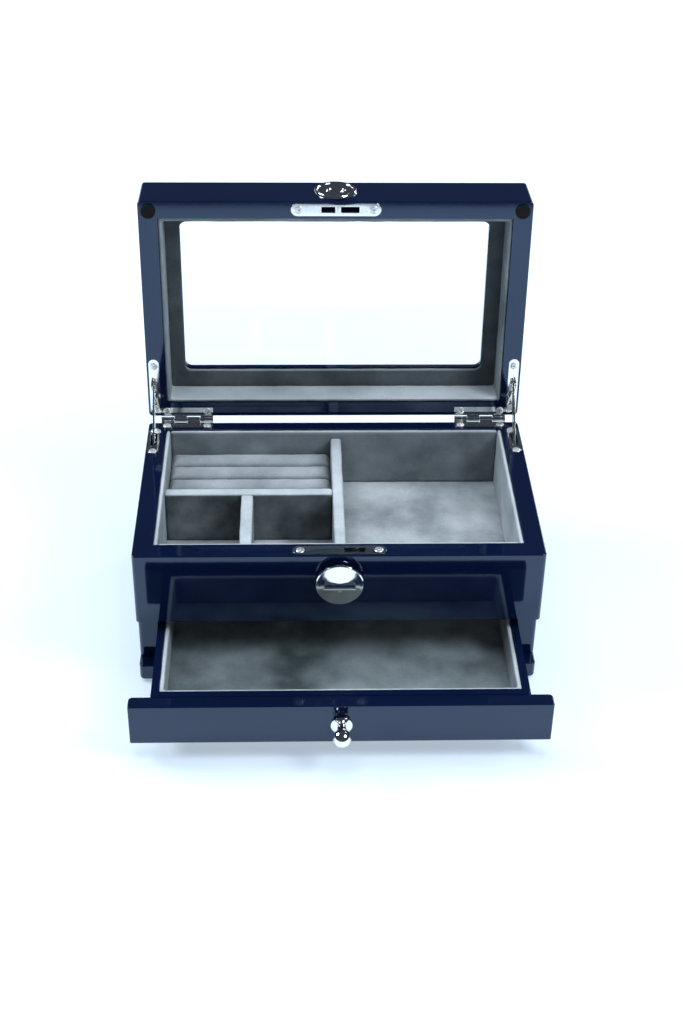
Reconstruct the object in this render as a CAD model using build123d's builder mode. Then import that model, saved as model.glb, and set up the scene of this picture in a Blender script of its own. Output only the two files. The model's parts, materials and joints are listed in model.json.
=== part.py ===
"""Jewelry gift box: a lacquered case with a divided tray, a drawer and a glazed lid.

Frame: millimetres, X to the right, Y to the back, Z up. The origin is the centre of
the case's footprint, on the surface that the box stands on. The lid stands open and
the drawer is pulled out, as the box is shown off.
"""

import os
from math import atan2, cos, degrees, radians, sin

from build123d import *

# ---------------------------------------------------------------- driving dimensions
WIDTH = 280.0               # case and lid, outside, side to side
DEPTH = 171.0               # case and lid, outside, front to back
RIM_Z = 110.0               # top of the case's rim above the table
SIDE_T = 13.6               # case side boards
FRONT_T = 13.7              # case front board
BACK_T = 9.7                # case back board
CORNER_R = 3.0              # upright corners of the case and lid
EDGE_R = 0.9                # lacquered outside edges

FELT_T = 1.5                # felt under the base board
FELT_INSET = 4.0            # of the felt's edge from the base board's
BASE_TOP = 14.6             # top of the base board, which the drawer slides over
UPPER_BOTTOM = 54.0         # underside of the front board, above the drawer
RECESS = 11.0               # how far the drawer opening stands behind the front
RAIL_BOTTOM = 47.6          # underside of the rail above the drawer
TRAY_BOARD_TOP = 60.0
TRAY_FLOOR = 63.0           # top of the velvet floor

LINING_T = 3.2              # velvet-covered card on the tray's walls
LINING_BACK_T = 2.6
LINING_DROP = 0.8           # how far the linings stop below the rim
DIVIDER_TOP = 103.7
MAIN_DIVIDER_X = (-3.0, 5.0)
CROSS_DIVIDER_Y = (-2.4, 5.6)
SMALL_DIVIDER_X = (-68.4, -59.8)
ROLL_COUNT = 4
ROLL_GAP = 0.4
ROLL_TOP = 92.5

DRAWER_PULL = 79.5          # how far the drawer is pulled out
DRAWER_FRONT_T = 10.5
DRAWER_BOTTOM_Z = 15.2
DRAWER_TOP_Z = 46.8
DRAWER_HALF_W = 125.6       # outside of the drawer's sides
DRAWER_SIDE_T = 5.0
DRAWER_INNER_FRONT_T = 5.3
DRAWER_BACK_Y = 73.5
DRAWER_BACK_T = 5.5
DRAWER_FLOOR_Z = 17.6
DRAWER_FLOOR_T = 3.0
DRAWER_PAD_T = 1.6
DRAWER_LINING_T = 3.4
DRAWER_LINING_FRONT_T = 2.6
DRAWER_KNOB_Z = 31.0
STUD_R = 2.0                # drawer knob's stud, in the drawer front
STUD_L = 8.0
BALL_R = 6.2
BALL_OUT = 13.5             # centre of the ball in front of the drawer front
BALL_NECK_R = 3.5
BALL_FLANGE_R = 7.25
BALL_FLANGE_T = 3.5
GLIDE_X = 122.2             # felt strips under the drawer's sides
GLIDE_T = 0.4

LID_OPEN = 93.0             # degrees from shut to how the lid stands
RIM_GAP = 2.0               # between the rims of the case and the shut lid
HINGE_OUT = 2.6             # hinge axis behind the back face
LID_H = 39.0
LID_SIDE_T = 13.8
LID_FRONT_T = 12.8
LID_BACK_T = 11.3
LID_TOP_T = 10.4            # glazed top frame
WINDOW_HALF_W = 112.8
WINDOW_BACK = 30.0          # window's edges, measured forwards from the hinge axis
WINDOW_FRONT = 149.0
WINDOW_R = 5.0
WINDOW_BEVEL = 6.3
GLASS_T = 3.0
RETAINER_T = 2.6
LID_LINING_T = 2.8
CARD_GAP = 0.1              # between a lining's cards at the corners

BARREL_R = 2.2              # hinge knuckles
HINGE_PIN_R = 0.8
RUNNING = 0.05              # radial clearance where a pin turns in a hole
LEAF_T = 1.0
LEAF_REACH = 9.6            # from the hinge axis to the leaf's edge
HINGE_X = (-130.6, 91.6)    # left end of each hinge
HINGE_L = 39.0
KNUCKLES = 4
KNUCKLE_GAP = 0.2
HINGE_SCREW_INSET = 4.4     # from each end of the leaf
HINGE_SCREW_REACH = 6.6     # from the hinge axis
SCREW_SHANK = (1.0, 6.0)    # small screws: radius and length below the plate
SCREW_HEAD = (2.9, 0.6)     # radius and height

STAY_X = 134.6              # centre of the stays, each side
STAY_ARM_T = 1.5
STAY_ARM_OUT = 133.9        # the arm's inner face, outwards from the middle
STAY_ARM_EYE_R = 2.6
STAY_ARM_SLOT = (3.6, 48.5)     # along the arm from the pivot
GUIDE_PIN_R = 1.0
STAY_PIVOT = (-30.0, -2.0)  # stay pivot from the hinge axis, lid shut
STAY_GUIDE_PIN = (58.6, 104.0)
STAY_ARM_TILT = 38.11       # of the arm from upright, lid open
STAY_ARM_END = 52.0         # from the pivot
STAY_ARM_HALF_W = 4.0
STAY_SLOT_HALF_W = 1.5
RIVET_R = 1.15
RIVET_HEAD_R = 2.0
RIVET_HEAD_T = 0.6
STAY_PLATE_Y = (42.2, 77.0)
STAY_PLATE_HALF_W = 4.3
STAY_PLATE_SCREW_Y = (45.6, 73.6)
STAY_SLOT_Y = (53.0, 69.4)
STAY_SLOT_OUT = (132.4, 137.1)       # slot's sides, outwards from the middle
STAY_CHEEK_T = 0.5
STAY_CHEEK_BOTTOM = 100.0
STAY_MORTISE_Y = (47.2, 70.0)
STAY_MORTISE_OUT = (131.6, 137.7)
STAY_MORTISE_BOTTOM = 56.4
BRACKET_Y = (-50.0, -3.0)            # lid bracket, from the hinge axis, lid shut
BRACKET_HALF_W = 3.9
BRACKET_SCREW_Y = (-44.5, -9.0)
BRACKET_LUG_OUT = (135.7, 136.7)
BRACKET_LUG_R = 3.2

KNOB_Z = 90.0
KNOB_R = 16.3
KNOB_FRONT = 8.0            # its front, in front of the case's face
KNOB_T = 4.0
KNOB_DOME = 1.2             # rise of its domed front
KNOB_BAR = (22.0, 4.6, 0.7)     # raised grip bar: length, width, height
KNOB_TAIL_Y = -76.3
SHAFT_R = 4.0
SHAFT_TAIL_R = 3.0
SLEEVE_FLANGE_R = 10.5
SLEEVE_FLANGE_T = 1.5
CAM_Y = (-77.9, -76.4)
CAM_R = 4.6
SLEEVE_R = 5.0
LOCK_X = (-23.0, 23.0)      # lock case in the front board's mortise
LOCK_Y = (-82.2, -75.4)
LOCK_BOTTOM = 78.0
LOCK_WALL = 0.6
HOOK_PIVOT = (-4.0, 98.0)
HOOK_Y = (-80.2, -78.2)
HOOK_BAND = (17.0, 20.2)    # the sickle's radii about its pivot
HOOK_BAND_DEG = (-10.0, 32.0)
HOOK_ARM_DEG = 10.0
HOOK_BOSS_R = 3.6
HOOK_PIN_R = 1.2
LATCH_Y = -78.8             # centre line of the latch plate
LATCH_SLOT_X = (3.1, 17.3)
STRIKE_FORWARD = 167.4      # centre line of the strike plate from the hinge axis
PLATE_L = 64.0
PLATE_W = 9.6
PLATE_T = 1.2
PLATE_PROUD = 0.2
PLATE_SCREW_X = (-26.6, 26.6)
SLOT_HALF_W = 2.4
STRIKE_WINDOWS = ((-10.4, -0.6), (3.5, 16.5))
STRIKE_WINDOW_HALF_W = 2.1
HOOK_POCKET_X = (-11.0, 17.2)
HOOK_POCKET_DEPTH = 7.0
SCOOP_X = 3.5               # thumb scoop in the lid's lower front edge
SCOOP_R = 55.7
SCOOP_DEPTH = 2.5
SCOOP_H = 8.0
BUMPER_SPOT = (132.6, 166.3)    # outwards and forwards from the hinge axis
BUMPER_R = 5.35
BUMPER_Z = (-0.9, 2.0)
BADGE_R = 15.5
BADGE_Z = 21.0

# ---------------------------------------------------------------- derived dimensions
HALF_W = WIDTH / 2
FRONT_Y = -DEPTH / 2
BACK_Y = DEPTH / 2
INNER_X = HALF_W - SIDE_T
INNER_FRONT_Y = FRONT_Y + FRONT_T
INNER_BACK_Y = BACK_Y - BACK_T
RECESS_Y = FRONT_Y + RECESS
LINED_X = INNER_X - LINING_T
LINED_FRONT_Y = INNER_FRONT_Y + LINING_T
LINED_BACK_Y = INNER_BACK_Y - LINING_BACK_T

HINGE_Y = BACK_Y + HINGE_OUT
HINGE_Z = RIM_Z + RIM_GAP / 2
LID_RIM = RIM_GAP / 2                       # lid heights count from the hinge axis
LID_TOP = LID_RIM + LID_H
LID_FRONT = -(DEPTH + HINGE_OUT)
LID_BACK = -HINGE_OUT
LID_MID = (LID_FRONT + LID_BACK) / 2
LID_INNER_X = HALF_W - LID_SIDE_T
LID_INNER_FRONT = LID_FRONT + LID_FRONT_T
LID_INNER_BACK = LID_BACK - LID_BACK_T
GLASS_TOP = LID_TOP - LID_TOP_T
RETAINER_TOP = GLASS_TOP - GLASS_T

SIDES = (("left", -1), ("right", 1))
HINGE_SPANS = [(x, x + HINGE_L) for x in HINGE_X]
HINGE_SCREW_X = [x + dx for x in HINGE_X for dx in (HINGE_SCREW_INSET, HINGE_L - HINGE_SCREW_INSET)]
CASE_HINGE_SCREWS = [(x, HINGE_Y - HINGE_SCREW_REACH) for x in HINGE_SCREW_X]
LID_HINGE_SCREWS = [(x, -HINGE_SCREW_REACH) for x in HINGE_SCREW_X]

# The lid's pieces are drawn as on the shut lid, from the hinge axis, on this plane.
lid = Plane(
    origin=(0, HINGE_Y, HINGE_Z),
    x_dir=(1, 0, 0),
    z_dir=(0, sin(radians(LID_OPEN)), cos(radians(LID_OPEN))),
)
# The drawer's pieces are drawn as on the shut drawer, on this plane.
drawer = Plane(origin=(0, -DRAWER_PULL, 0))

os.makedirs("parts", exist_ok=True)


def save(piece, label):
    """Name a finished piece and write its STEP file."""
    piece.part.label = label
    export_step(piece.part, f"parts/{label}.step")


def board(x_range, y_range, z_range, plane=Plane.XY):
    """A rectangular board between the given limits, drawn on the given plane."""
    with BuildPart() as piece:
        with BuildSketch(plane.offset(z_range[0])):
            with Locations(((x_range[0] + x_range[1]) / 2, (y_range[0] + y_range[1]) / 2)):
                Rectangle(x_range[1] - x_range[0], y_range[1] - y_range[0])
        extrude(amount=z_range[1] - z_range[0])
    return piece


def edges_at(piece, plane, height, half_x, y_min, y_max):
    """The edges of a piece at one height that lie on the outer outline."""
    chosen = []
    for edge in piece.edges():
        spot = plane.to_local_coords(edge.center())
        outside = abs(spot.X) > half_x - 1.5 or spot.Y < y_min + 1.5 or spot.Y > y_max - 1.5
        if abs(spot.Z - height) < 0.01 and outside:
            chosen.append(edge)
    return chosen


def case_edges(piece, height):
    """The outer edges of a case board at one height."""
    return edges_at(piece, Plane.XY, height, HALF_W, FRONT_Y, BACK_Y)


def turned(outline, plane):
    """A turned piece: outline points are (height, radius) about the plane's normal."""
    with BuildPart() as piece:
        with BuildSketch(Plane(plane.origin, x_dir=plane.z_dir, z_dir=plane.x_dir)):
            with BuildLine():
                Polyline(*outline, close=True)
            make_face()
        revolve(axis=Axis(plane.origin, plane.z_dir))
    return piece


def screws(label, *places):
    """Cross-head screws; each place is a plane, heads on its normal's side, and spots."""
    head_r, head_h = SCREW_HEAD
    shank_r, shank_l = SCREW_SHANK
    outline = (
        (-shank_l, 0),
        (shank_r - shank_l, shank_r),
        (0, shank_r),
        (0, head_r),
        (head_h * 0.4, head_r),
        (head_h, head_r * 0.6),
        (head_h, 0),
    )
    with BuildPart() as screw:
        add(turned(outline, Plane.XY).part)
        with BuildSketch(Plane.XY.offset(head_h * 0.3)):
            Rectangle(head_r, head_r * 0.24)
            Rectangle(head_r * 0.24, head_r)
        extrude(amount=head_h, mode=Mode.SUBTRACT)
    with BuildPart() as group:
        for plane, spots in places:
            for spot in spots:
                with Locations(plane.location * Location((*spot, 0))):
                    add(screw.part)
    save(group, label)


def span(limits, sign=1):
    """A pair of limits on one side of the box, low one first."""
    return tuple(sorted((sign * limits[0], sign * limits[1])))


def around(middle, half):
    """The limits that lie half a width each side of a middle."""
    return (middle - half, middle + half)


def cut(x_range, y_range, z_range, plane=Plane.XY):
    """Cut a rectangular recess from the part being built."""
    add(board(x_range, y_range, z_range, plane).part, mode=Mode.SUBTRACT)


def cut_holes(spots, plane, radius, depth):
    """Drill round holes down from a plane in the part being built."""
    with BuildSketch(plane) as circles:
        with Locations(*spots):
            Circle(radius)
    extrude(circles.sketch, amount=-depth, mode=Mode.SUBTRACT)


# ================================================================ THE CASE
# Base board: stands on a sheet of felt and closes the case below the drawer.
with BuildPart() as base_board:
    with BuildSketch(Plane.XY.offset(FELT_T)):
        RectangleRounded(WIDTH, DEPTH, CORNER_R)
    extrude(amount=BASE_TOP - FELT_T)
    fillet(case_edges(base_board, FELT_T), 2.5)
    fillet(case_edges(base_board, BASE_TOP), EDGE_R)
save(base_board, "base_board")

with BuildPart() as felt_base:
    with BuildSketch(Plane.XY):
        RectangleRounded(WIDTH - 2 * FELT_INSET, DEPTH - 2 * FELT_INSET, CORNER_R)
    extrude(amount=FELT_T)
save(felt_base, "felt_base")

# Side boards: full height and depth, cut back below the front board for the drawer.
for side, sign in SIDES:
    stay_x = sign * STAY_X
    leaf_x = HINGE_SPANS[0] if sign < 0 else HINGE_SPANS[1]
    under_plates = Plane.XY.offset(RIM_Z - LEAF_T)
    with BuildPart() as case_side:
        with BuildSketch(Plane.YZ.offset(min(sign * HALF_W, sign * INNER_X))):
            with BuildLine():
                Polyline(
                    (FRONT_Y, UPPER_BOTTOM),
                    (FRONT_Y, RIM_Z),
                    (BACK_Y, RIM_Z),
                    (BACK_Y, BASE_TOP),
                    (RECESS_Y, BASE_TOP),
                    (RECESS_Y, UPPER_BOTTOM),
                    close=True,
                )
            make_face()
        extrude(amount=SIDE_T)
        uprights = case_side.edges().filter_by(Axis.Z)
        fillet([edge for edge in uprights if abs(edge.center().X) > HALF_W - 1], CORNER_R)
        fillet(case_edges(case_side, RIM_Z), EDGE_R)
        cut(around(stay_x, STAY_PLATE_HALF_W), STAY_PLATE_Y, (RIM_Z - LEAF_T, RIM_Z + 1))
        cut(span(STAY_MORTISE_OUT, sign), STAY_MORTISE_Y, (STAY_MORTISE_BOTTOM, RIM_Z + 1))
        cut(leaf_x, (HINGE_Y - LEAF_REACH, BACK_Y + 1), (RIM_Z - LEAF_T, RIM_Z + 1))
        cut_holes([(stay_x, y) for y in STAY_PLATE_SCREW_Y], under_plates, *SCREW_SHANK)
        cut_holes(CASE_HINGE_SCREWS, under_plates, *SCREW_SHANK)
    save(case_side, f"case_{side}_side")

# Front board: carries the latch in a mortise behind a thin front wall.
with BuildPart() as case_front:
    latch_seat = Plane.XY.offset(RIM_Z + PLATE_PROUD - PLATE_T)
    with BuildSketch(Plane.XY.offset(UPPER_BOTTOM)):
        with Locations((0, (FRONT_Y + INNER_FRONT_Y) / 2)):
            Rectangle(2 * INNER_X, FRONT_T)
    extrude(amount=RIM_Z - UPPER_BOTTOM)
    fillet(case_front.edges().filter_by(Axis.X).group_by(Axis.Y)[0], EDGE_R)
    with BuildSketch(latch_seat):
        with Locations((0, LATCH_Y)):
            SlotOverall(PLATE_L, PLATE_W)
    extrude(amount=PLATE_T, mode=Mode.SUBTRACT)
    cut(LOCK_X, LOCK_Y, (LOCK_BOTTOM, RIM_Z))
    cut_holes([(x, LATCH_Y) for x in PLATE_SCREW_X], latch_seat, *SCREW_SHANK)
    with BuildSketch(Plane.XZ.offset(-LOCK_Y[0])):
        with Locations((0, KNOB_Z)):
            Circle(SLEEVE_R)
    extrude(amount=5, mode=Mode.SUBTRACT)
save(case_front, "case_front_panel")

# Back board: between the sides, from the base to the rim.
with BuildPart() as case_back:
    with BuildSketch(Plane.XY.offset(BASE_TOP)):
        with Locations((0, (BACK_Y + INNER_BACK_Y) / 2)):
            Rectangle(2 * INNER_X, BACK_T)
    extrude(amount=RIM_Z - BASE_TOP)
    fillet(case_back.edges().filter_by(Axis.X).group_by(Axis.Z)[-1].sort_by(Axis.Y)[-1], EDGE_R)
    for leaf_span in HINGE_SPANS:
        cut(leaf_span, (HINGE_Y - LEAF_REACH, BACK_Y + 1), (RIM_Z - LEAF_T, RIM_Z + 1))
    cut_holes(CASE_HINGE_SCREWS, Plane.XY.offset(RIM_Z - LEAF_T), *SCREW_SHANK)
save(case_back, "case_back_panel")

# Rail above the drawer, standing back from the front as the drawer opening does.
drawer_rail = board((-INNER_X, INNER_X), (RECESS_Y, RECESS_Y + 14), (RAIL_BOTTOM, UPPER_BOTTOM))
save(drawer_rail, "drawer_rail")

# Felt strips that the drawer slides on.
with BuildPart() as drawer_glides:
    with BuildSketch(Plane.XY.offset(BASE_TOP)):
        with Locations((-GLIDE_X, 0), (GLIDE_X, 0)):
            Rectangle(8, DEPTH - 30)
    extrude(amount=GLIDE_T)
save(drawer_glides, "drawer_glides")

# ================================================================ THE TRAY
tray_board = board((-INNER_X, INNER_X), (INNER_FRONT_Y, INNER_BACK_Y), (UPPER_BOTTOM, TRAY_BOARD_TOP))
save(tray_board, "tray_floor_board")
tray_pad = board((-INNER_X, INNER_X), (INNER_FRONT_Y, INNER_BACK_Y), (TRAY_BOARD_TOP, TRAY_FLOOR))
save(tray_pad, "tray_floor_pad")

LINING_Z = (TRAY_FLOOR, RIM_Z - LINING_DROP)
for side, sign in SIDES:
    tray_side = board(span((LINED_X, INNER_X), sign), (INNER_FRONT_Y, INNER_BACK_Y), LINING_Z)
    save(tray_side, f"tray_lining_{side}")
tray_front = board((-LINED_X, LINED_X), (INNER_FRONT_Y, LINED_FRONT_Y), LINING_Z)
save(tray_front, "tray_lining_front")
tray_back = board((-LINED_X, LINED_X), (LINED_BACK_Y, INNER_BACK_Y), LINING_Z)
save(tray_back, "tray_lining_back")

DIVIDER_Z = (TRAY_FLOOR, DIVIDER_TOP)
save(board(MAIN_DIVIDER_X, (LINED_FRONT_Y, LINED_BACK_Y), DIVIDER_Z), "main_divider")
save(board((-LINED_X, MAIN_DIVIDER_X[0]), CROSS_DIVIDER_Y, DIVIDER_Z), "cross_divider")
save(board(SMALL_DIVIDER_X, (LINED_FRONT_Y, CROSS_DIVIDER_Y[0]), DIVIDER_Z), "small_divider")

# Ring rolls: velvet over foam, side by side, with round tops.
roll_pitch = (LINED_BACK_Y - CROSS_DIVIDER_Y[1]) / ROLL_COUNT
roll_half = (roll_pitch - ROLL_GAP) / 2
with BuildPart() as ring_rolls:
    with BuildSketch(Plane.YZ.offset(ROLL_GAP - LINED_X)):
        for number in range(ROLL_COUNT):
            with Locations((CROSS_DIVIDER_Y[1] + roll_pitch * (number + 0.5), TRAY_FLOOR)):
                with Locations((0, ROLL_TOP - TRAY_FLOOR - roll_half)):
                    Circle(roll_half)
                Rectangle(
                    2 * roll_half,
                    ROLL_TOP - TRAY_FLOOR - roll_half,
                    align=(Align.CENTER, Align.MIN),
                )
    extrude(amount=LINED_X + MAIN_DIVIDER_X[0] - 2 * ROLL_GAP)
save(ring_rolls, "ring_rolls")

# ================================================================ THE HINGES
KNUCKLE_PITCH = HINGE_L / KNUCKLES
KNUCKLE_L = KNUCKLE_PITCH - KNUCKLE_GAP
LEAF_CLEAR = BARREL_R + 0.35        # from the axis, past the other leaf's knuckles
TONGUE_Y = (-LEAF_CLEAR, -1.0)


def hinge_leaf(label, start_x, plane, height, first, bore_r):
    """A hinge leaf with every second knuckle, drawn from the hinge axis."""
    with BuildPart() as piece:
        with BuildSketch(plane.offset(height)):
            with Locations((start_x + HINGE_L / 2, -(LEAF_REACH + LEAF_CLEAR) / 2)):
                Rectangle(HINGE_L, LEAF_REACH - LEAF_CLEAR)
            for number in range(first, KNUCKLES, 2):
                middle = start_x + KNUCKLE_PITCH * (number + 0.5)
                with Locations((middle, (TONGUE_Y[0] + TONGUE_Y[1]) / 2)):
                    Rectangle(KNUCKLE_L, TONGUE_Y[1] - TONGUE_Y[0])
            with Locations(*[(x, -HINGE_SCREW_REACH) for x in HINGE_SCREW_X]):
                Circle(SCREW_SHANK[0], mode=Mode.SUBTRACT)
        extrude(amount=LEAF_T)
        for number in range(first, KNUCKLES, 2):
            knuckle_x = start_x + KNUCKLE_PITCH * (number + 0.5) - KNUCKLE_L / 2
            knuckle_end = Plane((knuckle_x, HINGE_Y, HINGE_Z), z_dir=(1, 0, 0))
            with BuildSketch(knuckle_end):
                Circle(BARREL_R)
            extrude(amount=KNUCKLE_L)
        with BuildSketch(Plane((start_x, HINGE_Y, HINGE_Z), z_dir=(1, 0, 0))):
            Circle(bore_r)
        extrude(amount=HINGE_L, mode=Mode.SUBTRACT)
    save(piece, label)


hinge_plane = Plane((0, HINGE_Y, HINGE_Z))
for (side, sign), start_x in zip(SIDES, HINGE_X):
    case_height = -LID_RIM - LEAF_T
    hinge_leaf(f"{side}_hinge_case_leaf", start_x, hinge_plane, case_height, 0, HINGE_PIN_R)
    hinge_leaf(f"{side}_hinge_lid_leaf", start_x, lid, LID_RIM, 1, HINGE_PIN_R + RUNNING)

with BuildPart() as hinge_pins:
    for start_x in HINGE_X:
        with BuildSketch(Plane((start_x, HINGE_Y, HINGE_Z), z_dir=(1, 0, 0))):
            Circle(HINGE_PIN_R)
        extrude(amount=HINGE_L)
save(hinge_pins, "hinge_pins")

# ================================================================ THE STAYS
# Each stay: a slotted arm hangs on the lid's bracket and slides down over a pin that
# crosses the slot in the case's plate, above a deep mortise in the side board.
rim_plates = Plane.XY.offset(RIM_Z + PLATE_PROUD)
open_deg = radians(LID_OPEN)
pivot = lid.from_local_coords((0, *STAY_PIVOT))
tilt = radians(STAY_ARM_TILT)
arm_dir = (0, -sin(tilt), -cos(tilt))

for side, sign in SIDES:
    outward = (sign, 0, 0)
    with BuildPart() as stay_guide:
        with BuildSketch(rim_plates):
            with Locations((sign * STAY_X, sum(STAY_PLATE_Y) / 2)):
                SlotOverall(
                    STAY_PLATE_Y[1] - STAY_PLATE_Y[0], 2 * STAY_PLATE_HALF_W, rotation=90
                )
            with Locations(*[(sign * STAY_X, y) for y in STAY_PLATE_SCREW_Y]):
                Circle(SCREW_SHANK[0], mode=Mode.SUBTRACT)
        extrude(amount=-PLATE_T)
        for edge, thick in zip(STAY_SLOT_OUT, (-STAY_CHEEK_T, STAY_CHEEK_T)):
            cheek_x = span((edge, edge + thick), sign)
            add(board(cheek_x, STAY_SLOT_Y, (STAY_CHEEK_BOTTOM, RIM_Z)).part)
        cut(span(STAY_SLOT_OUT, sign), STAY_SLOT_Y, (STAY_CHEEK_BOTTOM, RIM_Z + 1))
        pin_x = sign * (STAY_SLOT_OUT[0] - STAY_CHEEK_T)
        with BuildSketch(Plane((pin_x, *STAY_GUIDE_PIN), z_dir=outward)):
            Circle(GUIDE_PIN_R)
        extrude(amount=STAY_SLOT_OUT[1] - STAY_SLOT_OUT[0] + 2 * STAY_CHEEK_T)
    save(stay_guide, f"{side}_stay_guide")

    with BuildPart() as stay_bracket:
        with BuildSketch(lid.offset(LID_RIM)):
            with Locations((sign * STAY_X, sum(BRACKET_Y) / 2)):
                SlotOverall(BRACKET_Y[1] - BRACKET_Y[0], 2 * BRACKET_HALF_W, rotation=90)
            with Locations(*[(sign * STAY_X, y) for y in BRACKET_SCREW_Y]):
                Circle(SCREW_SHANK[0], mode=Mode.SUBTRACT)
        extrude(amount=LEAF_T)
        lug_face = Plane(
            (sign * BRACKET_LUG_OUT[0], pivot.Y, pivot.Z), x_dir=lid.z_dir, z_dir=outward
        )
        with BuildSketch(lug_face):
            Circle(BRACKET_LUG_R)
            Rectangle(
                LID_RIM - STAY_PIVOT[1], 2 * BRACKET_LUG_R, align=(Align.MIN, Align.CENTER)
            )
            Circle(RIVET_R, mode=Mode.SUBTRACT)
        extrude(amount=BRACKET_LUG_OUT[1] - BRACKET_LUG_OUT[0])
    save(stay_bracket, f"{side}_stay_bracket")

    arm_face = Plane((sign * STAY_ARM_OUT, pivot.Y, pivot.Z), x_dir=arm_dir, z_dir=outward)
    with BuildPart() as stay_arm:
        with BuildSketch(arm_face):
            Circle(STAY_ARM_EYE_R)
            with Locations((2 * STAY_ARM_HALF_W, 0), (STAY_ARM_END - STAY_ARM_HALF_W, 0)):
                Circle(STAY_ARM_HALF_W)
            make_hull()
            Circle(RIVET_R + RUNNING, mode=Mode.SUBTRACT)
            with Locations((sum(STAY_ARM_SLOT) / 2, 0)):
                SlotOverall(
                    STAY_ARM_SLOT[1] - STAY_ARM_SLOT[0], 2 * STAY_SLOT_HALF_W, mode=Mode.SUBTRACT
                )
        extrude(amount=STAY_ARM_T)
    save(stay_arm, f"{side}_stay_arm")

# Rivets: a thin head inside, the shank through the arm and the bracket's lug.
with BuildPart() as stay_rivets:
    for _, sign in SIDES:
        head_face = Plane(
            (sign * (STAY_ARM_OUT - 0.1 - RIVET_HEAD_T), pivot.Y, pivot.Z), z_dir=(sign, 0, 0)
        )
        with BuildSketch(head_face):
            Circle(RIVET_HEAD_R)
        extrude(amount=RIVET_HEAD_T)
        with BuildSketch(head_face):
            Circle(RIVET_R)
        extrude(amount=BRACKET_LUG_OUT[1] - STAY_ARM_OUT + 0.1 + RIVET_HEAD_T)
save(stay_rivets, "stay_rivets")

# ================================================================ THE LATCH
with BuildPart() as latch_plate:
    with BuildSketch(rim_plates):
        with Locations((0, LATCH_Y)):
            SlotOverall(PLATE_L, PLATE_W)
        with Locations((sum(LATCH_SLOT_X) / 2, LATCH_Y)):
            Rectangle(LATCH_SLOT_X[1] - LATCH_SLOT_X[0], 2 * SLOT_HALF_W, mode=Mode.SUBTRACT)
        with Locations(*[(x, LATCH_Y) for x in PLATE_SCREW_X]):
            Circle(SCREW_SHANK[0], mode=Mode.SUBTRACT)
    extrude(amount=-PLATE_T)
save(latch_plate, "latch_plate")

# Lock case: a folded steel box, open at the top, behind the front board's face.
seat_z = RIM_Z + PLATE_PROUD - PLATE_T
with BuildPart() as lock_case:
    add(board(LOCK_X, LOCK_Y, (LOCK_BOTTOM, seat_z)).part)
    cut(
        (LOCK_X[0] + LOCK_WALL, LOCK_X[1] - LOCK_WALL),
        (LOCK_Y[0] + LOCK_WALL, LOCK_Y[1] - LOCK_WALL),
        (LOCK_BOTTOM + LOCK_WALL, seat_z),
    )
    cut_holes([(0, KNOB_Z)], Plane.XZ.offset(-LOCK_Y[0]), SHAFT_TAIL_R + 0.3, LOCK_WALL)
    cut_holes([HOOK_PIVOT], Plane.XZ.offset(-LOCK_Y[0]), HOOK_PIN_R, LOCK_Y[1] - LOCK_Y[0])
save(lock_case, "lock_case")

with BuildPart() as hook_pin:
    with BuildSketch(Plane.XZ.offset(-LOCK_Y[0])):
        with Locations(HOOK_PIVOT):
            Circle(HOOK_PIN_R)
    extrude(amount=LOCK_Y[0] - LOCK_Y[1])
save(hook_pin, "hook_pivot_pin")

# Hook: a sickle about its pivot, which rises through the latch plate's slot.
hook_face = Plane((HOOK_PIVOT[0], HOOK_Y[1], HOOK_PIVOT[1]), x_dir=(1, 0, 0), z_dir=(0, -1, 0))
with BuildPart() as latch_hook:
    with BuildSketch(hook_face):
        with BuildLine():
            inner = CenterArc((0, 0), HOOK_BAND[0], HOOK_ARM_DEG, HOOK_BAND_DEG[1] - HOOK_ARM_DEG)
            outer = CenterArc(
                (0, 0), HOOK_BAND[1], HOOK_BAND_DEG[0], HOOK_BAND_DEG[1] - HOOK_BAND_DEG[0]
            )
            Line(inner @ 1, outer @ 1)
            Polyline(inner @ 0, (0, 1.5), (0, -3.0), outer @ 0)
        make_face()
        Circle(HOOK_BOSS_R)
        Circle(HOOK_PIN_R + RUNNING, mode=Mode.SUBTRACT)
    extrude(amount=HOOK_Y[1] - HOOK_Y[0])
save(latch_hook, "latch_hook")

# Knob on the front: sleeve in the board, polished disc on a shaft, cam on its tail.
knob_axis = Plane((0, FRONT_Y, KNOB_Z), x_dir=(1, 0, 0), z_dir=(0, -1, 0))
sleeve_depth = LOCK_Y[0] - FRONT_Y
with BuildPart() as knob_sleeve:
    add(
        turned(
            (
                (SLEEVE_FLANGE_T, SHAFT_R + RUNNING),
                (SLEEVE_FLANGE_T, SLEEVE_FLANGE_R - 1.2),
                (SLEEVE_FLANGE_T - 1.2, SLEEVE_FLANGE_R),
                (0, SLEEVE_FLANGE_R),
                (0, SLEEVE_R),
                (-sleeve_depth, SLEEVE_R),
                (-sleeve_depth, SHAFT_R + RUNNING),
            ),
            knob_axis,
        ).part
    )
save(knob_sleeve, "knob_sleeve")

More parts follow.
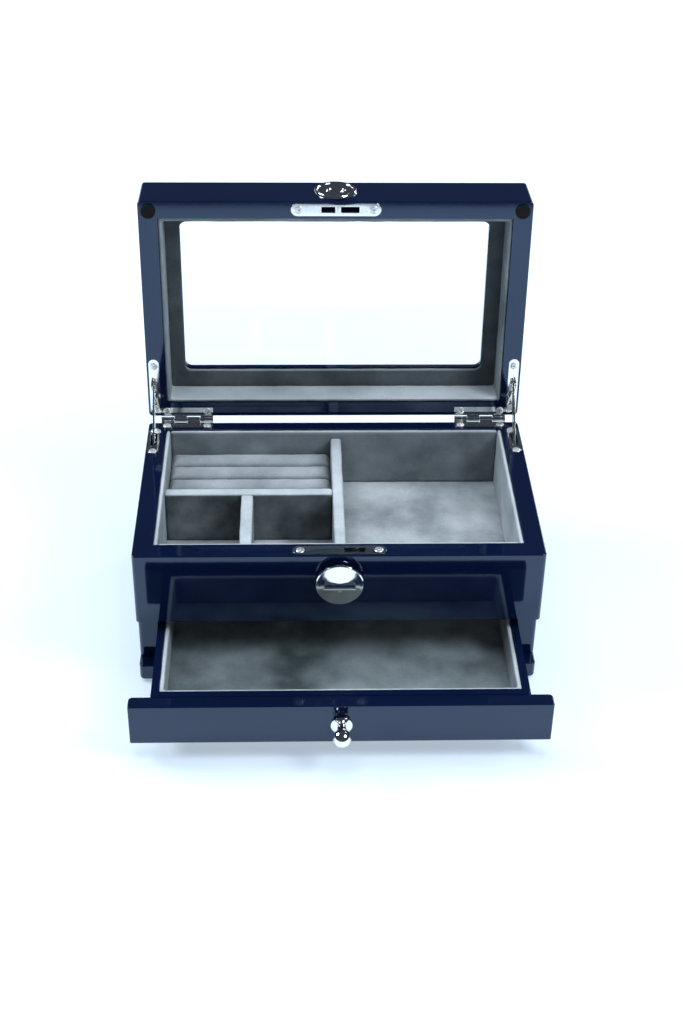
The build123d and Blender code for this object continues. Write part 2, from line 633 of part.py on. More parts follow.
dome_r = ((KNOB_R - 0.6) ** 2 + KNOB_DOME**2) / (2 * KNOB_DOME)
back = KNOB_FRONT - KNOB_T
rim_front = KNOB_FRONT - KNOB_DOME
with BuildPart() as turn_knob:
    with BuildSketch(Plane(knob_axis.origin, x_dir=knob_axis.z_dir, z_dir=knob_axis.x_dir)):
        with BuildLine():
            Polyline(
                (KNOB_FRONT, 0),
                (FRONT_Y - KNOB_TAIL_Y, 0),
                (FRONT_Y - KNOB_TAIL_Y, SHAFT_TAIL_R),
                (0.3 - sleeve_depth, SHAFT_TAIL_R),
                (0.3 - sleeve_depth, SHAFT_R),
                (SLEEVE_FLANGE_T + 0.3, SHAFT_R),
                (SLEEVE_FLANGE_T + 0.3, KNOB_R / 2),
                (back, KNOB_R / 2),
                (back, KNOB_R - 0.8),
                (back + 0.8, KNOB_R),
                (rim_front - 0.6, KNOB_R),
                (rim_front, KNOB_R - 0.6),
            )
            RadiusArc((rim_front, KNOB_R - 0.6), (KNOB_FRONT, 0), -dome_r)
        make_face()
    revolve(axis=Axis(knob_axis.origin, knob_axis.z_dir))
    with BuildSketch(knob_axis.offset(rim_front)):
        Trapezoid(KNOB_BAR[0], KNOB_BAR[1], 80)
    extrude(amount=KNOB_DOME + KNOB_BAR[2])
save(turn_knob, "turn_knob")

with BuildPart() as knob_cam:
    with BuildSketch(Plane.XZ.offset(-CAM_Y[1])):
        with Locations((0, KNOB_Z)):
            Circle(CAM_R)
        with Locations((-3.5, KNOB_Z + 3.5)):
            Circle(2)
        make_hull()
        with Locations((0, KNOB_Z)):
            Circle(SHAFT_TAIL_R, mode=Mode.SUBTRACT)
    extrude(amount=CAM_Y[1] - CAM_Y[0])
save(knob_cam, "knob_cam")

# ================================================================ THE LID
scoop_y = LID_FRONT + SCOOP_DEPTH - SCOOP_R


def cut_scoop():
    """Cut the thumb scoop, which fades out upwards, from the part being built."""
    with BuildSketch(lid.offset(LID_RIM - 1)) as circle:
        with Locations((SCOOP_X, scoop_y)):
            Circle(SCOOP_R + SCOOP_DEPTH / SCOOP_H)
    slope = degrees(atan2(SCOOP_DEPTH, SCOOP_H))
    extrude(circle.sketch, amount=SCOOP_H + 1, taper=slope, mode=Mode.SUBTRACT)


with BuildPart() as lid_shell:
    with BuildSketch(lid.offset(LID_RIM)):
        with Locations((0, LID_MID)):
            RectangleRounded(WIDTH, DEPTH, CORNER_R)
    extrude(amount=LID_H)
    outline = (HALF_W, LID_FRONT, LID_BACK)
    fillet(edges_at(lid_shell, lid, LID_TOP, *outline), 1.5)
    fillet(edges_at(lid_shell, lid, LID_RIM, *outline), 0.6)
    hollow_y = (LID_INNER_FRONT, LID_INNER_BACK)
    cut((-LID_INNER_X, LID_INNER_X), hollow_y, (LID_RIM, GLASS_TOP), lid)
    with BuildSketch(lid.offset(GLASS_TOP)):
        with Locations((0, -(WINDOW_FRONT + WINDOW_BACK) / 2)):
            RectangleRounded(2 * WINDOW_HALF_W, WINDOW_FRONT - WINDOW_BACK, WINDOW_R)
    extrude(amount=LID_TOP_T, mode=Mode.SUBTRACT)
    with BuildSketch(lid.offset(LID_TOP)):
        with Locations((0, -(WINDOW_FRONT + WINDOW_BACK) / 2)):
            RectangleRounded(
                2 * (WINDOW_HALF_W + WINDOW_BEVEL),
                WINDOW_FRONT - WINDOW_BACK + 2 * WINDOW_BEVEL,
                WINDOW_R + WINDOW_BEVEL,
            )
    extrude(amount=-WINDOW_BEVEL, taper=45, mode=Mode.SUBTRACT)
    cut_scoop()
    for leaf_span in HINGE_SPANS:
        cut(leaf_span, (-LEAF_REACH, LID_BACK + 1), (0, LID_RIM + LEAF_T), lid)
    for _, sign in SIDES:
        with BuildSketch(lid.offset(LID_RIM)):
            with Locations((sign * STAY_X, sum(BRACKET_Y) / 2)):
                SlotOverall(BRACKET_Y[1] - BRACKET_Y[0], 2 * BRACKET_HALF_W, rotation=90)
        extrude(amount=LEAF_T, mode=Mode.SUBTRACT)
    with BuildSketch(lid.offset(LID_RIM)):
        with Locations(*[(sign * BUMPER_SPOT[0], -BUMPER_SPOT[1]) for _, sign in SIDES]):
            Circle(BUMPER_R)
        with Locations((0, -STRIKE_FORWARD)):
            SlotOverall(PLATE_L, PLATE_W)
    extrude(amount=LEAF_T, mode=Mode.SUBTRACT)
    pocket_y = around(-STRIKE_FORWARD, STRIKE_WINDOW_HALF_W - 0.3)
    pocket_z = LID_RIM + LEAF_T
    cut(HOOK_POCKET_X, pocket_y, (pocket_z, pocket_z + HOOK_POCKET_DEPTH), lid)
    lid_screw_spots = (
        LID_HINGE_SCREWS
        + [(sign * STAY_X, y) for _, sign in SIDES for y in BRACKET_SCREW_Y]
        + [(x, -STRIKE_FORWARD) for x in PLATE_SCREW_X]
    )
    with BuildSketch(lid.offset(LID_RIM)) as screw_holes:
        with Locations(*lid_screw_spots):
            Circle(SCREW_SHANK[0])
    extrude(amount=SCREW_SHANK[1] + LEAF_T, mode=Mode.SUBTRACT)

# The shell is made of four rails, glued up before the lacquer hides the joints.
lid_rails = (
    ("lid_left_rail", (-HALF_W, -WINDOW_HALF_W), (LID_FRONT, LID_BACK)),
    ("lid_right_rail", (WINDOW_HALF_W, HALF_W), (LID_FRONT, LID_BACK)),
    ("lid_front_rail", (-WINDOW_HALF_W, WINDOW_HALF_W), (LID_FRONT, LID_MID)),
    ("lid_back_rail", (-WINDOW_HALF_W, WINDOW_HALF_W), (LID_MID, LID_BACK)),
)
for label, x_range, y_range in lid_rails:
    with BuildPart() as lid_rail:
        add(lid_shell.part)
        add(board(x_range, y_range, (LID_RIM, LID_TOP), lid).part, mode=Mode.INTERSECT)
    save(lid_rail, label)

glass_y = (LID_INNER_FRONT + 1, LID_INNER_BACK - 1)
glass_x = (1 - LID_INNER_X, LID_INNER_X - 1)
save(board(glass_x, glass_y, (RETAINER_TOP, GLASS_TOP), lid), "lid_glass")

with BuildPart() as glass_retainer:
    with BuildSketch(lid.offset(RETAINER_TOP - RETAINER_T)):
        with Locations((0, (LID_INNER_FRONT + LID_INNER_BACK) / 2)):
            Rectangle(2 * LID_INNER_X, LID_INNER_BACK - LID_INNER_FRONT)
        with Locations((0, -(WINDOW_FRONT + WINDOW_BACK) / 2)):
            RectangleRounded(
                2 * WINDOW_HALF_W, WINDOW_FRONT - WINDOW_BACK, WINDOW_R, mode=Mode.SUBTRACT
            )
    extrude(amount=RETAINER_T)
save(glass_retainer, "glass_retainer")


def lining_group(label, x_out, y_range, z_range, thick, front_t, plane):
    """Four lining cards inside a rectangle, the side ones running its full depth."""
    x_in = x_out - thick
    with BuildPart() as group:
        for _, sign in SIDES:
            add(board(span((x_in, x_out), sign), y_range, z_range, plane).part)
        between = (CARD_GAP - x_in, x_in - CARD_GAP)
        add(board(between, (y_range[0], y_range[0] + front_t), z_range, plane).part)
        add(board(between, (y_range[1] - thick, y_range[1]), z_range, plane).part)
    save(group, label)


lid_lining_z = (LID_RIM + LINING_DROP, RETAINER_TOP - RETAINER_T)
lining_group(
    "lid_linings", LID_INNER_X, hollow_y, lid_lining_z, LID_LINING_T, LID_LINING_T, lid
)

with BuildPart() as lid_bumpers:
    with BuildSketch(lid.offset(BUMPER_Z[0])):
        with Locations(*[(sign * BUMPER_SPOT[0], -BUMPER_SPOT[1]) for _, sign in SIDES]):
            Circle(BUMPER_R)
    extrude(amount=BUMPER_Z[1] - BUMPER_Z[0])
    fillet(lid_bumpers.faces().sort_by(Axis(lid.origin, lid.z_dir))[0:2].edges(), 0.9)
save(lid_bumpers, "lid_bumpers")

with BuildPart() as strike_plate:
    with BuildSketch(lid.offset(LID_RIM - PLATE_PROUD)):
        with Locations((0, -STRIKE_FORWARD)):
            SlotOverall(PLATE_L, PLATE_W)
        for window in STRIKE_WINDOWS:
            with Locations((sum(window) / 2, -STRIKE_FORWARD)):
                Rectangle(window[1] - window[0], 2 * STRIKE_WINDOW_HALF_W, mode=Mode.SUBTRACT)
        with Locations(*[(x, -STRIKE_FORWARD) for x in PLATE_SCREW_X]):
            Circle(SCREW_SHANK[0], mode=Mode.SUBTRACT)
    extrude(amount=PLATE_T)
    cut_scoop()
save(strike_plate, "strike_plate")

badge_centre = lid.from_local_coords((0, LID_FRONT, BADGE_Z))
lid_badge = turned(
    (
        (0, 0),
        (0, BADGE_R),
        (1.6, BADGE_R),
        (2.8, BADGE_R - 1.4),
        (2.8, BADGE_R - 3),
        (1.2, BADGE_R - 5),
        (1.2, 0),
    ),
    Plane(badge_centre, x_dir=(1, 0, 0), z_dir=-lid.y_dir),
)
save(lid_badge, "lid_badge")

# ================================================================ THE SCREWS
screws(
    "case_screws",
    (Plane.XY.offset(RIM_Z), CASE_HINGE_SCREWS),
    (rim_plates, [(sign * STAY_X, y) for _, sign in SIDES for y in STAY_PLATE_SCREW_Y]),
    (rim_plates, [(x, LATCH_Y) for x in PLATE_SCREW_X]),
)


def rim_below(height):
    """The plane that faces down from the lid at a height; its y runs forwards."""
    return Plane(lid.offset(height).origin, x_dir=lid.x_dir, z_dir=-lid.z_dir)


screws(
    "lid_screws",
    (rim_below(LID_RIM), [(x, -y) for x, y in lid_screw_spots[: -len(PLATE_SCREW_X)]]),
    (rim_below(LID_RIM - PLATE_PROUD), [(x, STRIKE_FORWARD) for x in PLATE_SCREW_X]),
)

# ================================================================ THE DRAWER
drawer_z = (DRAWER_BOTTOM_Z, DRAWER_TOP_Z)
front_back_y = FRONT_Y + DRAWER_FRONT_T
inner_front_y = front_back_y + DRAWER_INNER_FRONT_T
drawer_inner_x = DRAWER_HALF_W - DRAWER_SIDE_T
drawer_back_y = DRAWER_BACK_Y - DRAWER_BACK_T

with BuildPart() as drawer_front:
    add(board((-HALF_W, HALF_W), (FRONT_Y, front_back_y), drawer_z, drawer).part)
    uprights = drawer_front.edges().filter_by(Axis.Z).group_by(Axis.Y)
    fillet(uprights[-1], CORNER_R)
    fillet(uprights[0], 1)
    fillet(drawer_front.edges().filter_by(Axis.X).group_by(Axis.Y)[0], 0.8)
    stud_plane = Plane((0, FRONT_Y - DRAWER_PULL, DRAWER_KNOB_Z), x_dir=(1, 0, 0), z_dir=(0, -1, 0))
    cut_holes([(0, 0)], stud_plane, STUD_R, STUD_L)
save(drawer_front, "drawer_front")

for side, sign in SIDES:
    side_x = span((drawer_inner_x, DRAWER_HALF_W), sign)
    save(board(side_x, (front_back_y, DRAWER_BACK_Y), drawer_z, drawer), f"drawer_{side}_side")
inner_x = (-drawer_inner_x, drawer_inner_x)
save(board(inner_x, (front_back_y, inner_front_y), drawer_z, drawer), "drawer_inner_front")
save(board(inner_x, (drawer_back_y, DRAWER_BACK_Y), drawer_z, drawer), "drawer_back")

floor_y = (inner_front_y, drawer_back_y)
floor_top = DRAWER_FLOOR_Z + DRAWER_FLOOR_T
pad_top = floor_top + DRAWER_PAD_T
save(board(inner_x, floor_y, (DRAWER_FLOOR_Z, floor_top), drawer), "drawer_bottom")
save(board(inner_x, floor_y, (floor_top, pad_top), drawer), "drawer_pad")
drawer_lining_z = (pad_top, DRAWER_TOP_Z - 0.6)
lining_group(
    "drawer_linings", drawer_inner_x, floor_y, drawer_lining_z,
    DRAWER_LINING_T, DRAWER_LINING_FRONT_T, drawer,
)

with BuildPart() as drawer_knob:
    with BuildSketch(Plane(stud_plane.origin, x_dir=(0, -1, 0), z_dir=(1, 0, 0))):
        with BuildLine():
            waist = BALL_OUT - (BALL_R**2 - BALL_NECK_R**2) ** 0.5
            Polyline(
                (BALL_OUT + BALL_R, 0),
                (-STUD_L, 0),
                (-STUD_L, STUD_R),
                (0, STUD_R),
                (0, BALL_FLANGE_R),
                (1.8, BALL_FLANGE_R),
                (BALL_FLANGE_T, BALL_NECK_R + 0.6),
                (BALL_FLANGE_T, BALL_NECK_R),
                (waist, BALL_NECK_R),
            )
            ThreePointArc((waist, BALL_NECK_R), (BALL_OUT, BALL_R), (BALL_OUT + BALL_R, 0))
        make_face()
    revolve(axis=Axis(stud_plane.origin, stud_plane.z_dir))
save(drawer_knob, "drawer_knob")
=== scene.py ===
import json
import math
from math import radians

import bpy
from mathutils import Matrix, Vector


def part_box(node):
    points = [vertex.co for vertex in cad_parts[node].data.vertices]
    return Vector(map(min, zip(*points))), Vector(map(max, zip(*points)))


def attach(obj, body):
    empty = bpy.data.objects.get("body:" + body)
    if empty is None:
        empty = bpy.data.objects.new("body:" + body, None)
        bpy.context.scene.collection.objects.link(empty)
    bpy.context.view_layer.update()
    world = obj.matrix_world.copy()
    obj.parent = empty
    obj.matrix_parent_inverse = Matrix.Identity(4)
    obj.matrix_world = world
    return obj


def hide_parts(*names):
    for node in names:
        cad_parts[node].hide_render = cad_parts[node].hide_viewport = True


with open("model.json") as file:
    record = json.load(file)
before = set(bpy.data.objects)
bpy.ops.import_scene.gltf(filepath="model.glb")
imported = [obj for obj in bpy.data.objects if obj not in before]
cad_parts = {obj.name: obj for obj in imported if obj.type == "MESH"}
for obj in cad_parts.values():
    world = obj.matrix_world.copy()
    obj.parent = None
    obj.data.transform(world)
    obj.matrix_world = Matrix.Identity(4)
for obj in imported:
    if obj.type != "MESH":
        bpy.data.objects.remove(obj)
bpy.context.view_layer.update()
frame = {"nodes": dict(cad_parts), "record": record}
cad_nodes = frame["nodes"]
bpy.ops.object.select_all(action="DESELECT")

# ---------------------------------------------------------------- camera
# A short telephoto on a stand in front of the box, a little left of its middle,
# tilted down over the tray.
lens_mm = 55.82
camera_spot = (-0.0310, -0.9427, 0.7444)
tilt_down, turn_right, roll = radians(34.9), radians(2.11), radians(0.95)
bpy.ops.object.camera_add(location=camera_spot)
camera = bpy.context.active_object
camera.name = "camera"
camera.data.lens = lens_mm
camera.matrix_world = (
    Matrix.Translation(camera_spot)
    @ Matrix.Rotation(-turn_right, 4, "Z")
    @ Matrix.Rotation(radians(90) - tilt_down, 4, "X")
    @ Matrix.Rotation(roll, 4, "Z")
)
bpy.context.scene.camera = camera


# ---------------------------------------------------------------- studio
# A table of white acrylic with a painted glow, under a dark ceiling, with softboxes left, right
# and behind, and soft fill from overhead and from the front that no polished face mirrors.
def linear(hex_colour):
    """An sRGB hex colour as linear RGBA."""
    parts = [int(hex_colour[start:start + 2], 16) / 255 for start in (1, 3, 5)]
    return [
        part / 12.92 if part <= 0.04045 else ((part + 0.055) / 1.055) ** 2.4 for part in parts
    ] + [1.0]


def start_finish(name, settings):
    """A new material whose main shader has the given values."""
    material = bpy.data.materials.new(name)
    material.use_nodes = True
    shader = material.node_tree.nodes["Principled BSDF"]
    for socket, value in settings.items():
        shader.inputs[socket].default_value = value
    return material, shader


def add_node(material, kind, settings, links):
    """Add a node with its settings, and link other nodes' outputs to its inputs."""
    node = material.node_tree.nodes.new(kind)
    for name, value in settings.items():
        if name in node.inputs:
            node.inputs[name].default_value = value
        else:
            setattr(node, name, value)
    for socket, source in links.items():
        material.node_tree.links.new(source, node.inputs[socket])
    return node


white_acrylic, shader = start_finish("white_acrylic", {
    "Base Color": linear("#c6cfd5"),
    "Roughness": 0.5,
    "Emission Color": linear("#d6eaff"),
})
# The acrylic is given a painted glow, weaker near the box and stronger further out, where the
# softboxes no longer reach.
place = add_node(white_acrylic, "ShaderNodeTexCoord", {}, {})
distance = add_node(white_acrylic, "ShaderNodeVectorMath", {"operation": "LENGTH"}, {
    "Vector": place.outputs["Object"]})
painted_glow = add_node(white_acrylic, "ShaderNodeMapRange", {
    "From Min": 0.3, "From Max": 1.3, "To Min": 0.48, "To Max": 1.06}, {
    "Value": distance.outputs["Value"]})
white_acrylic.node_tree.links.new(painted_glow.outputs["Result"], shader.inputs["Emission Strength"])
table_wide = 60
bpy.ops.mesh.primitive_plane_add(size=table_wide, location=(0, 0, 0))
table = bpy.context.active_object
table.name = "painted_glow_table"
table.data.materials.append(white_acrylic)

# A black sheet lies on the table in front, hidden from the camera, from light and from shadow: a
# painted dark reflection that only mirror-bright faces see.
black_flock, _ = start_finish("black_flock", {
    "Base Color": linear("#08090b"), "Roughness": 1.0, "Specular IOR Level": 0.0})
flag_wide, flag_edge_y, flag_z = 1.6, -0.757, 0.003
bpy.ops.mesh.primitive_plane_add(
    size=flag_wide, location=(0, flag_edge_y - flag_wide / 2, flag_z))
reflection_flag = bpy.context.active_object
reflection_flag.name = "dark_reflection_flag"
reflection_flag.data.materials.append(black_flock)
reflection_flag.visible_camera = reflection_flag.visible_diffuse = False
reflection_flag.visible_transmission = reflection_flag.visible_shadow = False

# Each light's name, place, width, height and power in watts.
softboxes = (
    ("softbox_left", (-1.18, 0.29, 1.06), 0.60, 0.60, 17),
    ("softbox_right", (0.95, -0.52, 1.18), 0.60, 0.60, 15),
    ("softbox_back", (0.98, 1.10, 0.72), 0.30, 0.70, 7),
    ("diffuser_overhead", (0.0, 0.1, 1.9), 1.5, 1.5, 27),
    ("diffuser_front", (0.1, -1.5, 0.9), 0.9, 0.6, 3),
)
box_middle = Vector((0, 0, 0.1))
for name, spot, wide, high, watts in softboxes:
    bpy.ops.object.light_add(type="AREA", location=spot)
    softbox = bpy.context.active_object
    softbox.name = name
    softbox.data.shape = "RECTANGLE"
    softbox.data.size, softbox.data.size_y = wide, high
    softbox.data.energy = watts
    softbox.data.color = linear("#eaf5ff")[:3]
    softbox.visible_glossy = "diffuser" not in name
    softbox.rotation_euler = (box_middle - Vector(spot)).to_track_quat("-Z", "Y").to_euler()

ceiling = bpy.data.worlds.new("dark_ceiling")
ceiling.use_nodes = True
ceiling_light = ceiling.node_tree.nodes["Background"]
ceiling_light.inputs["Color"].default_value = linear("#8a97ad")
ceiling_light.inputs["Strength"].default_value = 0.16
bpy.context.scene.world = ceiling
bpy.context.scene.view_settings.view_transform = "Standard"


# ---------------------------------------------------------------- lacquered boards
# Case, lid and drawer are MDF boards, glued up and sprayed with deep navy polyester
# lacquer, then buffed to a mirror. The joints lie under the lacquer.
def pick(piece):
    """Make one object the only selected one, and active."""
    bpy.ops.object.select_all(action="DESELECT")
    piece.select_set(True)
    bpy.context.view_layer.objects.active = piece


same_point = 0.000002
same_plane = radians(0.5)


def cad_copy(node, name):
    """A CAD node's mesh on a new piece, its triangles merged into whole faces."""
    piece = bpy.data.objects.new(name, cad_nodes[node].data.copy())
    bpy.context.scene.collection.objects.link(piece)
    pick(piece)
    bpy.ops.mesh.customdata_custom_splitnormals_clear()
    bpy.ops.object.mode_set(mode="EDIT")
    bpy.ops.mesh.select_all(action="SELECT")
    bpy.ops.mesh.remove_doubles(threshold=same_point)
    bpy.ops.mesh.dissolve_limited(angle_limit=same_plane)
    bpy.ops.object.mode_set(mode="OBJECT")
    piece.data.materials.clear()
    return piece


def body_of_node(node):
    """The body that a CAD node belongs to."""
    bodies = frame["record"]["behaviour"]["bodies"]
    return next(body for body, members in bodies.items() if node in members)


def stand_for(piece, node, material):
    """Give a piece its finish, and let it ride and be shown in a CAD node's place."""
    piece.data.materials.append(material)
    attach(piece, body_of_node(node))
    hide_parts(node)


navy_lacquer, shader = start_finish("navy_lacquer", {
    "Roughness": 0.05,
    "IOR": 1.52,
    "Specular IOR Level": 0.8,
    # The reflections are tinted pale blue: a painted tint on reflected light.
    "Specular Tint": linear("#cde1ff"),
})
place = add_node(navy_lacquer, "ShaderNodeTexCoord", {}, {})
# Buffed polyester keeps a faint orange peel, about 4 mm from crest to crest, and the
# pigment lies a touch unevenly over a hand's width.
peel_wide, pigment_wide = 0.004, 0.09
peel = add_node(navy_lacquer, "ShaderNodeTexNoise", {"Scale": 1 / peel_wide, "Detail": 1.0}, {
    "Vector": place.outputs["Object"]})
relief = add_node(navy_lacquer, "ShaderNodeBump", {"Strength": 0.06, "Distance": 0.00004}, {
    "Height": peel.outputs["Fac"]})
pigment = add_node(navy_lacquer, "ShaderNodeTexNoise", {
    "Scale": 1 / pigment_wide, "Detail": 2.0}, {"Vector": place.outputs["Object"]})
depth = add_node(navy_lacquer, "ShaderNodeValToRGB", {}, {"Fac": pigment.outputs["Fac"]})
dark_end, light_end = depth.color_ramp.elements
dark_end.position, light_end.position = 0.3, 0.7
dark_end.color, light_end.color = linear("#08112a"), linear("#0a142f")
navy_lacquer.node_tree.links.new(depth.outputs["Color"], shader.inputs["Base Color"])
navy_lacquer.node_tree.links.new(relief.outputs["Normal"], shader.inputs["Normal"])


def even_shading(piece, angle):
    """Shade round faces smooth, and keep the reflections in flat faces straight."""
    pick(piece)
    bpy.ops.object.shade_smooth_by_angle(angle=angle)
    weighting = piece.modifiers.new("flat_faces_first", "WEIGHTED_NORMAL")
    weighting.keep_sharp, weighting.weight = True, 100
    bpy.ops.object.modifier_apply(modifier=weighting.name)


lacquered = (
    "base_board", "case_left_side", "case_right_side", "case_front_panel",
    "case_back_panel", "drawer_rail",
    "lid_left_rail", "lid_right_rail", "lid_front_rail", "lid_back_rail",
    "drawer_front", "drawer_left_side", "drawer_right_side", "drawer_inner_front",
    "drawer_back",
)
for node in lacquered:
    board = cad_copy(node, node + "_lacquered")
    even_shading(board, angle=radians(25))
    stand_for(board, node, navy_lacquer)


# ---------------------------------------------------------------- velvet linings
# Grey viscose velvet glued over card, with the cloth turned over the card's edges, so
# every edge is round and soft. The nap is crushed, and lies light and dark in patches.
def velvet(name, lit_upward, shaded_sideways, patch):
    """Crushed velvet, painted in lit tones where it faces up and in shaded tones where it
    stands: painted light and shade.

    patch is the size of the patches in which the nap lies one way.
    """
    material, shader = start_finish(name, {
        "Roughness": 0.9,
        "Specular IOR Level": 0.15,
        "Sheen Weight": 0.3,
        "Sheen Roughness": 0.4,
        "Sheen Tint": linear("#dfe8ef"),
    })
    place = add_node(material, "ShaderNodeTexCoord", {}, {})
    nap = add_node(material, "ShaderNodeTexNoise", {
        "Scale": 1 / patch, "Detail": 4.0, "Roughness": 0.5, "Distortion": 0.0,
    }, {"Vector": place.outputs["Object"]})
    tones = []
    for light, dark in (lit_upward, shaded_sideways):
        tone = add_node(material, "ShaderNodeValToRGB", {}, {"Fac": nap.outputs["Fac"]})
        dark_end, light_end = tone.color_ramp.elements
        dark_end.position, light_end.position = 0.33, 0.67
        dark_end.color, light_end.color = linear(dark), linear(light)
        tones.append(tone)
    # Upright cloth is painted in the darker tones as painted shade, and cloth that lies flat or
    # turns over an edge in the lighter tones as painted light from above.
    facing = add_node(material, "ShaderNodeSeparateXYZ", {}, {"Vector": place.outputs["Normal"]})
    painted_lit_share = add_node(material, "ShaderNodeMapRange", {"From Min": 0.15, "From Max": 0.75}, {
        "Value": facing.outputs["Z"]})
    lit_and_shaded = add_node(material, "ShaderNodeMixRGB", {}, {
        "Fac": painted_lit_share.outputs["Result"],
        "Color1": tones[1].outputs["Color"], "Color2": tones[0].outputs["Color"]})
    # Tufts of pile, drawn 1.2 mm apart, three times as coarse as the real ones.
    tuft_wide = 0.0012
    pile = add_node(material, "ShaderNodeTexNoise", {
        "Scale": 1 / tuft_wide, "Detail": 2.0, "Roughness": 0.7,
    }, {"Vector": place.outputs["Object"]})
    speck = add_node(material, "ShaderNodeMapRange", {"To Min": 0.80, "To Max": 1.18}, {
        "Value": pile.outputs["Fac"]})
    cloth = add_node(material, "ShaderNodeVectorMath", {"operation": "SCALE"}, {
        "Vector": lit_and_shaded.outputs["Color"], "Scale": speck.outputs["Result"]})
    lie = add_node(material, "ShaderNodeBump", {"Strength": 0.5, "Distance": 0.0025}, {
        "Height": nap.outputs["Fac"]})
    relief = add_node(material, "ShaderNodeBump", {"Strength": 0.4, "Distance": 0.0003}, {
        "Height": pile.outputs["Fac"], "Normal": lie.outputs["Normal"]})
    material.node_tree.links.new(cloth.outputs["Vector"], shader.inputs["Base Color"])
    material.node_tree.links.new(relief.outputs["Normal"], shader.inputs["Normal"])
    return material


uneven_glue = bpy.data.textures.new("uneven_glue", type="CLOUDS")
uneven_glue.noise_scale = 0.014


def soften(piece, edge, voxel, wave):
    """Round a piece's edges and give its faces the slight waves of glued cloth."""
    pick(piece)
    bevel = piece.modifiers.new("turned_edges", "BEVEL")
    bevel.width, bevel.segments, bevel.limit_method = edge, 4, "ANGLE"
    bevel.angle_limit = radians(40)
    remesh = piece.modifiers.new("even_mesh", "REMESH")
    remesh.mode, remesh.voxel_size = "VOXEL", voxel
    ease = piece.modifiers.new("ease", "SMOOTH")
    ease.factor, ease.iterations = 0.5, 3
    waves = piece.modifiers.new("waves", "DISPLACE")
    waves.texture, waves.texture_coords = uneven_glue, "LOCAL"
    waves.strength, waves.mid_level = wave, 0.5
    for step in [modifier.name for modifier in piece.modifiers]:
        bpy.ops.object.modifier_apply(modifier=step)
    bpy.ops.object.shade_smooth()


# Tops and turned edges of the linings and dividers take light tones: painted light from above.
lit_edge_tones = ("#b9bec1", "#9da3a7")
lining_velvet = velvet("lining_velvet", lit_edge_tones, ("#8c9295", "#5f6568"), 0.040)
# The dividers' upright faces are painted darker: painted shade inside the small compartments.
shaded_divider_velvet = velvet("shaded_divider_velvet", lit_edge_tones, ("#757b7d", "#363b3d"), 0.030)
# The right lining is painted lighter than the others: painted light from the left softbox.
lit_lining_velvet = velvet("lit_lining_velvet", lit_edge_tones, ("#b4babd", "#858b8f"), 0.040)
# The glass ledge is painted darker all over: painted shade on the ledge, which faces the front.
shaded_ledge_velvet = velvet("shaded_ledge_velvet", ("#90969a", "#7d8386"), ("#585d5f", "#3c4143"), 0.040)
lined = {
    "tray_lining_left": lining_velvet, "tray_lining_front": lining_velvet,
    "tray_lining_back": lining_velvet, "tray_lining_right": lit_lining_velvet,
    "main_divider": shaded_divider_velvet, "cross_divider": shaded_divider_velvet,
    "small_divider": shaded_divider_velvet, "lid_linings": lining_velvet,
    "glass_retainer": shaded_ledge_velvet, "drawer_linings": lining_velvet,
}
for node, cloth in lined.items():
    card = cad_copy(node, node + "_velvet")
    soften(card, edge=0.0012, voxel=0.0010, wave=0.0005)
    stand_for(card, node, cloth)

# ---------------------------------------------------------------- floor pads
# Card with 2 mm foam under the same velvet, laid into the tray and the drawer. The tray's copy
# is painted lighter and the drawer's darker: painted light on the tray floor, and painted shade
# in the drawer under the case.
lit_tray_velvet = velvet("lit_tray_velvet", ("#c4c8ca", "#7f8589"), ("#868c8f", "#6a7073"), 0.050)
shaded_drawer_velvet = velvet("shaded_drawer_velvet", ("#868f91", "#3c4446"), ("#6a7073", "#4a5052"), 0.050)
for node, cloth in (("tray_floor_pad", lit_tray_velvet), ("drawer_pad", shaded_drawer_velvet)):
    pad = cad_copy(node, node + "_velvet")
    soften(pad, edge=0.0006, voxel=0.0012, wave=0.0007)
    stand_for(pad, node, cloth)

# ---------------------------------------------------------------- ring rolls
# Four bars of firm foam wrapped in velvet, side by side across the back corner. A
# ring's shank is pushed down between two of them.
rolls_low, rolls_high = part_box("ring_rolls")
# The rolls' tops take light tones and their sides dark ones: painted light and shade.
roll_velvet = velvet("roll_velvet", ("#a3a7aa", "#82878a"), ("#505659", "#3c4143"), 0.040)
roll_count = 4
roll_gap = 0.0004
roll_pitch = (rolls_high[1] - rolls_low[1] + roll_gap) / roll_count
roll_wide = roll_pitch - roll_gap
roll_long = rolls_high[0] - rolls_low[0]
roll_tall = rolls_high[2] - rolls_low[2]
roll_round = roll_wide * 0.47
first_middle = (
    (rolls_low[0] + rolls_high[0]) / 2,
    rolls_low[1] + roll_wide / 2,
    (rolls_low[2] + rolls_high[2]) / 2,
)
bpy.ops.mesh.primitive_cube_add(
    size=1, location=first_middle, scale=(roll_long, roll_wide, roll_tall))
bare_roll = bpy.context.active_object
bpy.ops.object.transform_apply(location=True, rotation=True, scale=True)
bpy.ops.object.mode_set(mode="EDIT")
bpy.ops.mesh.select_all(action="DESELECT")
bpy.ops.object.mode_set(mode="OBJECT")
